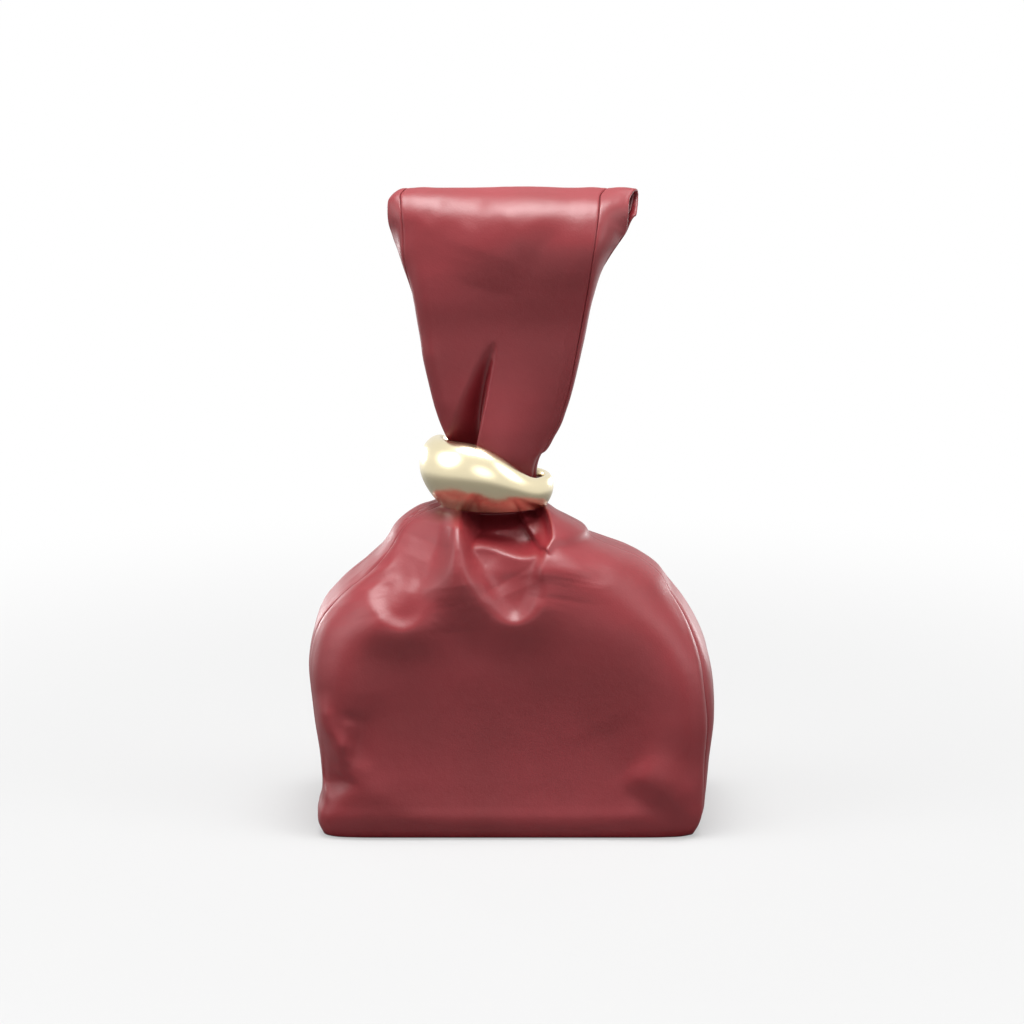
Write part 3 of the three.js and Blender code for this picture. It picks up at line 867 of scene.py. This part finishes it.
# %% Lines of the strap
# Height, left seam, right seam, right edge, left strip's width in millimetres, and its turn in degrees
STRAP_LINES = np.array([
    [158.0, -28, 9, 14.5, 12, 165],
    [175.0, -28.5, 14, 15.5, 12, 165],
    [187.0, -33, 18.5, 20.5, 12, 165],
    [200.0, -38.3, 22.5, 24.2, 12, 165],
    [214.0, -42.5, 27.2, 29.0, 12, 165],
    [240.0, -49, 32.5, 35.5, 12, 160],
    [263.0, -53, 36.5, 40.5, 12, 120],
    [281.0, -53.5, 39, 46.5, 12, 88],
    [296.0, -53.5, 41, 53, 11.5, 64],
    [308.0, -54.5, 42.5, 57, 9, 42],
    [317.0, -55.5, 43.5, 58, 4.5, 12],
])
BACK_LEG_SHIFT = 5.0
EDGE_SINK, RIGHT_SINK = 3.0, 15.0
LEFT_ROLL, ROLL_SHARE, ROLL_BACK = 8.0, 0.14, 0.6
BAND_COLUMNS, STRIP_COLUMNS = 64, 14
NECK_STRIP_TURN = 0.2
LOW_FALL, FALL_RISE, FALL_END = 0.4, (255, 288), (304, 316)
SHIFT_DEPTH, SHIFT_RISE = (0, 16), (262, 300)
UNROLL_RISE, FOLD_RISE = (256, 288), (298, 317)
WIDEN_RISE, FLATTEN_RISE = (168, 205), (178, 238)
FRONT_DEPTH, STRIP_EASE = (-6, 8), (-0.3, 0.3)
ROUND_SHARE = 0.985
SLANT, SLANT_HEIGHT, SLANT_REACH, SLANT_ARM = 5.0, 289, 23, 45


# %% Across the strap
def flat_strap(height, depth):
    """Across the strap where it is open: x and sink, in millimetres, for each row and line."""
    left, right, edge, width, turn = through(STRAP_LINES[:, 0], STRAP_LINES[:, 1:], height).T[..., None]
    shift = (BACK_LEG_SHIFT * smoothstep(*SHIFT_DEPTH, depth) * smoothstep(*SHIFT_RISE, height))[:, None]
    left, right, edge = left + shift, right + shift, edge + shift
    at_fold = smoothstep(*FOLD_RISE, height)[:, None]
    rolled = LEFT_ROLL * (1 - smoothstep(*UNROLL_RISE, height))[:, None]
    share = np.linspace(0, 1, BAND_COLUMNS + 1)[None]
    edge_sink = EDGE_SINK * (1 - at_fold)
    roll = np.clip(1 - share / ROLL_SHARE, 0, None) ** 2
    band_x = left + (right - left) * share + ROLL_BACK * rolled * roll**2
    band_sink = edge_sink * (2 * share - 1) ** 2 + rolled * roll
    steps = (np.arange(STRIP_COLUMNS) + 0.5)[None] / STRIP_COLUMNS
    turns = np.radians(turn) * smoothstep(*STRIP_EASE, steps)
    stride = width / STRIP_COLUMNS
    strip_x = left + ROLL_BACK * rolled - np.cumsum(np.cos(turns), axis=1) * stride
    strip_sink = edge_sink + rolled + np.cumsum(np.sin(turns), axis=1) * stride
    out = np.linspace(0, 1, STRIP_COLUMNS + 1)[None, 1:]
    right_x = right + (edge - right) * out
    falls = LOW_FALL + (1 - LOW_FALL) * smoothstep(*FALL_RISE, height)
    falls = (falls * (1 - smoothstep(*FALL_END, height)))[:, None]
    right_sink = edge_sink + RIGHT_SINK * falls * out**1.5
    x = np.concatenate([strip_x[:, ::-1], band_x, right_x], axis=1)
    sink = np.concatenate([strip_sink[:, ::-1], band_sink, right_sink], axis=1)
    return x, sink


def round_strap(height):
    """Across the strap where it wraps half the neck: x and sink, in millimetres."""
    strip = np.linspace(0, NECK_STRIP_TURN, STRIP_COLUMNS + 1)
    band = np.linspace(NECK_STRIP_TURN, 2 - NECK_STRIP_TURN, BAND_COLUMNS + 1)
    lines = np.concatenate([strip[:-1], band, 2 - strip[:-1][::-1]]) - 1
    turn = lines * math.pi / 2 * ROUND_SHARE
    tuck = TUCK * (1 - smoothstep(TUCK_FROM, TUCK_TO, height))[:, None]
    x = NECK_X + (NECK_HALF_WIDTH - tuck) * np.sin(turn)
    return x, (NECK_HALF_DEPTH - tuck) * (1 - np.cos(turn))


# %% The whole strap
def strap_points():
    """The whole strap as one grid, from its left edge to its right, in metres."""
    depth, height = arch_path.T
    open_up = smoothstep(*FLATTEN_RISE, height)[:, None]
    flat_x, flat_sink = flat_strap(height, depth)
    round_x, round_sink = round_strap(height)
    x = round_x + (flat_x - round_x) * smoothstep(*WIDEN_RISE, height)[:, None]
    sink = round_sink + (flat_sink - round_sink) * open_up
    in_front = 1 - smoothstep(*FRONT_DEPTH, depth)
    slant = SLANT * in_front * np.exp(-(((height - SLANT_HEIGHT) / SLANT_REACH) ** 2))
    y = depth[:, None] + arch_ahead[:, 1:2] * sink - slant[:, None] * x / SLANT_ARM
    z = height[:, None] - arch_ahead[:, 0:1] * sink
    return np.stack([x, y, z], axis=2) * MM


# %% Folds of the strap
DART = [(495, 342), (488, 370), (480, 405), (470, 450)]
SLACK_RIDGE = [(570, 200), (540, 213), (515, 229), (496, 256), (486, 290)]
FOLD_CREASE = [(446, 194), (436, 208), (424, 226)]
FOLD_CREASE_BESIDE = [(486, 192), (476, 210), (464, 232)]
LEFT_SWELL = [(420, 330), (432, 380), (448, 430)]


def strap_folds(pixels):
    """The dart above the ring, and the slack under the fold, in millimetres."""
    push = fold(pixels, DART, rises=[0, -4, -9, -12], left=[4, 9, 14, 18], right=[2, 2.5, 3, 3])
    push += fold(
        pixels,
        SLACK_RIDGE,
        rises=[0, 2, 3, 2.6, 0],
        left=[20, 30, 40, 40, 30],
        right=[16, 20, 26, 28, 26],
    )
    push += crease(pixels, FOLD_CREASE, rise=-0.6, width=9)
    push += crease(pixels, FOLD_CREASE_BESIDE, rise=-0.5, width=10)
    push += crease(pixels, LEFT_SWELL, rise=1.2, width=12)
    return push


STRAP_FACING = (0.05, 0.3)
strap = strap_points()
strap_normal = grid_normals(strap)
strap_push = strap_folds(in_photo(strap.reshape(-1, 3))).reshape(strap.shape[:2])
strap_push *= smoothstep(*STRAP_FACING, strap_normal @ camera_back)
strap = strap + strap_normal * strap_push[..., None] * MM
print("strap grid:", strap.shape)

# %% Handle pieces
FACING_LEATHER = 0.9 * MM
FACING_EASE = 0.5 * MM
STRAP_SEAM_TURN = 0.22 * MM
band_start, band_end = STRIP_COLUMNS, STRIP_COLUMNS + BAND_COLUMNS
HANDLE_PIECES = {
    "handle_left_strip": slice(0, band_start + 1),
    "handle_band": slice(band_start, band_end + 1),
    "handle_right_strip": slice(band_end, None),
}
for node, columns in HANDLE_PIECES.items():
    piece = grid_piece(f"{node}_leather", turned_edges(strap[:, columns], turn=STRAP_SEAM_TURN), burgundy)
    finish_sheet(piece, LEATHER)
    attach(piece, "pouch")
    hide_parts(node)
    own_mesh(piece)

facing_grid = (strap - grid_normals(strap) * (LEATHER + FACING_EASE))[:, 2:-2:2]
# The facing's darker colour is painted shade inside the loop, not a different leather.
facing = grid_piece("handle_facing_leather", facing_grid, facing_leather_painted_shade)
finish_sheet(facing, FACING_LEATHER)
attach(facing, "pouch")
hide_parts("handle_facing")
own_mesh(facing)

# %% [markdown]
# ## Ring
# The ring is a polished casting: slim at the right, swelling to a heavy dome at the left front.
# A torus has the right loops, so it is the start, and each of its points is moved to the swelling section.

# %% Ring section
BORE_HALF_WIDTH = 24.5
BORE_HALF_DEPTH = 21
RING_FOOT = 158.5
BULB_HEIGHT = 34.5
BAND_HEIGHT = 15.5
BULB_THICKNESS = 12.3
BAND_THICKNESS = 5.5
COMFORT_ROUND = 2.2
BULB_ANGLE = math.radians(208)
SWELL_FROM, SWELL_TO = 0.25, 0.95
HIGH_SHOULDER = 0.8
UNDERSIDE_TAPER = 1.6


def ring_points(angle, lift):
    """The ring's surface: angle goes round the bore, lift round the section."""
    swell = smoothstep(SWELL_FROM, SWELL_TO, (1 + np.cos(angle - BULB_ANGLE)) / 2)
    half_height = (BAND_HEIGHT + (BULB_HEIGHT - BAND_HEIGHT) * swell) / 2
    crown = BAND_THICKNESS + (BULB_THICKNESS - BAND_THICKNESS) * swell - COMFORT_ROUND
    out = np.stack([np.cos(angle) / BORE_HALF_WIDTH, np.sin(angle) / BORE_HALF_DEPTH], axis=1)
    out /= np.linalg.norm(out, axis=1, keepdims=True)
    outside = np.clip(np.cos(lift), 0, None) ** np.where(lift < 0, UNDERSIDE_TAPER, 1)
    reach = COMFORT_ROUND + crown * outside + COMFORT_ROUND * np.clip(np.cos(lift), None, 0)
    x = NECK_X + BORE_HALF_WIDTH * np.cos(angle) + out[:, 0] * reach
    y = BORE_HALF_DEPTH * np.sin(angle) + out[:, 1] * reach
    z = RING_FOOT + 2 * half_height * ((1 + np.sin(lift)) / 2) ** HIGH_SHOULDER
    return np.stack([x, y, z], axis=1) * MM


# %% Ring piece
TORUS_RADIUS, TORUS_SECTION = 1.0, 0.25
deselect_all()
bpy.ops.mesh.primitive_torus_add(
    major_segments=144, minor_segments=56, major_radius=TORUS_RADIUS, minor_radius=TORUS_SECTION
)
ring = named("slide_ring_gold", gold)
torus = np.array([v.co for v in ring.data.vertices])
torus_angle = np.arctan2(torus[:, 1], torus[:, 0])
torus_out = np.hypot(torus[:, 0], torus[:, 1]) - TORUS_RADIUS
torus_lift = np.arctan2(torus[:, 2], torus_out)
ring.data.vertices.foreach_set("co", ring_points(torus_angle, torus_lift).ravel())
ring.data.update()
bpy.ops.object.shade_smooth()
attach(ring, "ring")
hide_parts("slide_ring")
print("ring:", len(ring.data.polygons), "faces")

# %% [markdown]
# ## Base, lining and pocket
# The base leather and its board are flat. The lining hangs just inside the walls, so it is cut from
# the same grid.

# %% Base panel and board
BASE_LEATHER = 1.6 * MM
BASE_EASE = 0.4 * MM
PLATE_BEVEL = 0.25
RIM_STEP = 3


def plate(name, outline, foot, thickness, material):
    """A flat sheet laid on the board: a filled circle whose rim is moved to an outline, then thickened."""
    deselect_all()
    bpy.ops.mesh.primitive_circle_add(vertices=len(outline), radius=1, fill_type="NGON")
    piece = named(name, material)
    rim = np.array([v.co for v in piece.data.vertices])
    turn = np.arctan2(rim[:, 1], rim[:, 0]) % (2 * math.pi)
    order = np.arctan2(outline[:, 1], outline[:, 0]) % (2 * math.pi)
    places = np.empty_like(rim)
    places[np.argsort(turn), :2] = outline[np.argsort(order), :2]
    places[:, 2] = foot + thickness
    piece.data.vertices.foreach_set("co", places.ravel())
    piece.data.update()
    apply_modifier(piece, "SOLIDIFY", thickness=thickness, offset=-1.0)
    apply_modifier(piece, "BEVEL", width=PLATE_BEVEL * thickness, segments=2, angle_limit=math.radians(60))
    return piece


foot_outline = (draped[0] - wall_normals(draped)[0] * (LEATHER + BASE_EASE))[::RIM_STEP]
base_panel = plate("base_panel_leather", foot_outline, 0.0, BASE_LEATHER, burgundy)
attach(base_panel, "pouch")
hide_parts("base_panel")
base_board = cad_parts["base_board"]
base_board.data.materials.clear()
base_board.data.materials.append(board)
print("base panel:", len(base_panel.data.polygons), "faces")

# %% Lining
LINING_ROWS = slice(3, 104, 2)
LINING_INSET = 3.2 * MM
LINING_CLOTH = 0.6 * MM
LINING_BASE_FOOT = 4.3 * MM
LINING_BASE_ROW = 4

lining_wall = draped - wall_normals(draped) * LINING_INSET
for node, (start, columns) in WALL_STARTS.items():
    side = node.split("_")[0]
    lining_points = wall_stretch(lining_wall, start, columns)[LINING_ROWS, ::2]
    cloth = grid_piece(f"lining_{side}_twill", lining_points, twill)
    finish_sheet(cloth, LINING_CLOTH, levels=0)
    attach(cloth, "pouch")
    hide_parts(f"lining_{side}")

inward = -wall_normals(draped)[LINING_BASE_ROW]
floor_outline = (lining_wall[LINING_BASE_ROW] + inward * 2 * LINING_CLOTH)[::RIM_STEP]
lining_base = plate("lining_base_twill", floor_outline, LINING_BASE_FOOT, LINING_CLOTH, twill)
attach(lining_base, "pouch")
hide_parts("lining_base")

# %% Slip pocket
POCKET_COLUMNS = slice(36, 134, 2)
POCKET_ROWS = slice(32, 92, 2)
POCKET_EASE = 0.6 * MM
pocket_wall = draped - wall_normals(draped) * (LINING_INSET + LINING_CLOTH + POCKET_EASE)
pocket_points = wall_stretch(pocket_wall, *WALL_STARTS["back_panel"])[POCKET_ROWS, POCKET_COLUMNS]
slip_pocket = grid_piece("slip_pocket_twill", pocket_points, twill)
finish_sheet(slip_pocket, LINING_CLOTH, levels=0)
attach(slip_pocket, "pouch")
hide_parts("slip_pocket")

# %% [markdown]
# ## Studio
# A white sweep and six oval lights, as in a product photograph: a broad one overhead gives the shoulders
# their glow, a weak one in front and two at the sides fill the shadows, and two low ones behind edge the
# leather. The world is white to the camera and to reflections, so the ring shows a white room, and dim
# to everything else.

# %% Floor
FLOOR_SIDE = 6.0
FLOOR_DROP = 0.0005
deselect_all()
bpy.ops.mesh.primitive_plane_add(size=FLOOR_SIDE, location=(0, 0, -FLOOR_DROP))
floor = bpy.context.object
floor.name = "studio_floor"


# %% Floor paper
def eased(tree, value, low, high, start, end):
    """A smooth ease from start to end as a value goes from low to high."""
    ease = add_node(
        tree,
        "ShaderNodeMapRange",
        {"interpolation_type": "SMOOTHSTEP"},
        Value=value,
        From_Min=low,
        From_Max=high,
        To_Min=start,
        To_Max=end,
    )
    return ease.outputs["Result"]


def math_node(tree, operation, *values):
    """One arithmetic step on values or sockets."""
    inputs = {f"_{place}": value for place, value in enumerate(values)}
    return add_node(tree, "ShaderNodeMath", {"operation": operation}, **inputs).outputs[0]


def white_sweep(name):
    """White paper: matt, and lifted to white for camera and mirrors where the object's shadow ends."""
    bounce, tone_seen, tone_mirrored = 0.42, 0.34, 0.14
    seen_from, seen_to, seen_least = 0.2, 0.75, 0.45
    mirrored_from, mirrored_to = 0.3, 0.9
    material, tree, place = new_material(name)
    rays = add_node(tree, "ShaderNodeLightPath").outputs
    away = add_node(tree, "ShaderNodeVectorMath", {"operation": "LENGTH"}, _0=place).outputs["Value"]
    seen = math_node(tree, "MAXIMUM", rays["Is Camera Ray"], rays["Is Transmission Ray"])
    mirrored = rays["Is Glossy Ray"]
    white_seen = eased(tree, away, seen_from, seen_to, seen_least, 1.0)
    white_mirrored = eased(tree, away, mirrored_from, mirrored_to, 0.0, 1.0)
    lift_seen = math_node(tree, "MULTIPLY", seen, white_seen)
    lift_mirrored = math_node(tree, "MULTIPLY", mirrored, white_mirrored)
    tone = math_node(tree, "MULTIPLY_ADD", seen, tone_seen - bounce, bounce)
    tone = math_node(tree, "MULTIPLY_ADD", mirrored, tone_mirrored - bounce, tone)
    paper = add_node(tree, "ShaderNodeBsdfDiffuse", Color=tone)
    glow = add_node(tree, "ShaderNodeEmission", Color=linear("#ffffff"), Strength=1.0)
    mixed = add_node(
        tree,
        "ShaderNodeMixShader",
        _0=math_node(tree, "MAXIMUM", lift_seen, lift_mirrored),
        _1=paper.outputs["BSDF"],
        _2=glow.outputs["Emission"],
    )
    add_node(tree, "ShaderNodeOutputMaterial", Surface=mixed.outputs["Shader"])
    return material


floor.data.materials.append(white_sweep("studio_paper"))

# %% World
world = bpy.context.scene.world or bpy.data.worlds.new("studio")
bpy.context.scene.world = world
world.use_nodes = True
WORLD_DIM, WORLD_WHITE = 0.1, 1.0
sky = world.node_tree
sky.nodes.clear()
rays = add_node(sky, "ShaderNodeLightPath").outputs
seen = math_node(sky, "MAXIMUM", rays["Is Camera Ray"], rays["Is Glossy Ray"])
seen = math_node(sky, "MAXIMUM", seen, rays["Is Transmission Ray"])
level = add_node(sky, "ShaderNodeMapRange", Value=seen, To_Min=WORLD_DIM, To_Max=WORLD_WHITE)
white = add_node(sky, "ShaderNodeBackground", Color=linear("#ffffff"), Strength=level.outputs["Result"])
add_node(sky, "ShaderNodeOutputWorld", Surface=white.outputs["Background"])


# %% Lamps
def softbox(name, place, aim, width, height, power, core=0.25):
    """An oval area light at place, turned towards aim, that fades to its rim as a diffuser does."""
    bpy.ops.object.light_add(type="AREA", location=place)
    lamp = bpy.context.object
    lamp.name = name
    lamp.data.shape = "ELLIPSE"
    lamp.data.size = width
    lamp.data.size_y = height
    lamp.data.energy = power
    toward = Vector(aim) - Vector(place)
    lamp.rotation_euler = toward.to_track_quat("-Z", "Y").to_euler()
    lamp.data.use_nodes = True
    tree = lamp.data.node_tree
    tree.nodes.clear()
    across = add_node(tree, "ShaderNodeNewGeometry").outputs["Parametric"]
    centred = add_node(tree, "ShaderNodeVectorMath", {"operation": "SUBTRACT"}, _0=across, _1=(0.5, 0.5, 0))
    doubled = add_node(
        tree, "ShaderNodeVectorMath", {"operation": "MULTIPLY"}, _0=centred.outputs[0], _1=(2, 2, 0)
    )
    out = add_node(tree, "ShaderNodeVectorMath", {"operation": "LENGTH"}, _0=doubled.outputs[0])
    fade = eased(tree, out.outputs["Value"], core, 1.0, 1.0, 0.0)
    glow = add_node(tree, "ShaderNodeEmission", Strength=fade)
    add_node(tree, "ShaderNodeOutputLight", Surface=glow.outputs["Emission"])


# Name, place and aim in metres, width, height, and watts
softbox("overhead_softbox", (0.0, -0.15, 1.9), (0.0, 0, 0.15), 2.4, 1.2, 195)
softbox("front_softbox", (0.1, -2.0, 0.5), (0.0, 0, 0.1), 2.2, 1.4, 12)
softbox("left_softbox", (-1.35, -0.4, 0.85), (0, 0, 0.12), 1.5, 1.5, 26)
softbox("right_softbox", (1.35, -0.5, 0.85), (0, 0, 0.12), 1.5, 1.5, 22)
softbox("left_rim_softbox", (-0.95, 1.2, 0.2), (0, 0, 0.06), 0.5, 0.4, 16)
softbox("right_rim_softbox", (0.95, 1.2, 0.2), (0, 0, 0.06), 0.5, 0.4, 11)

bpy.context.scene.view_settings.view_transform = "Standard"
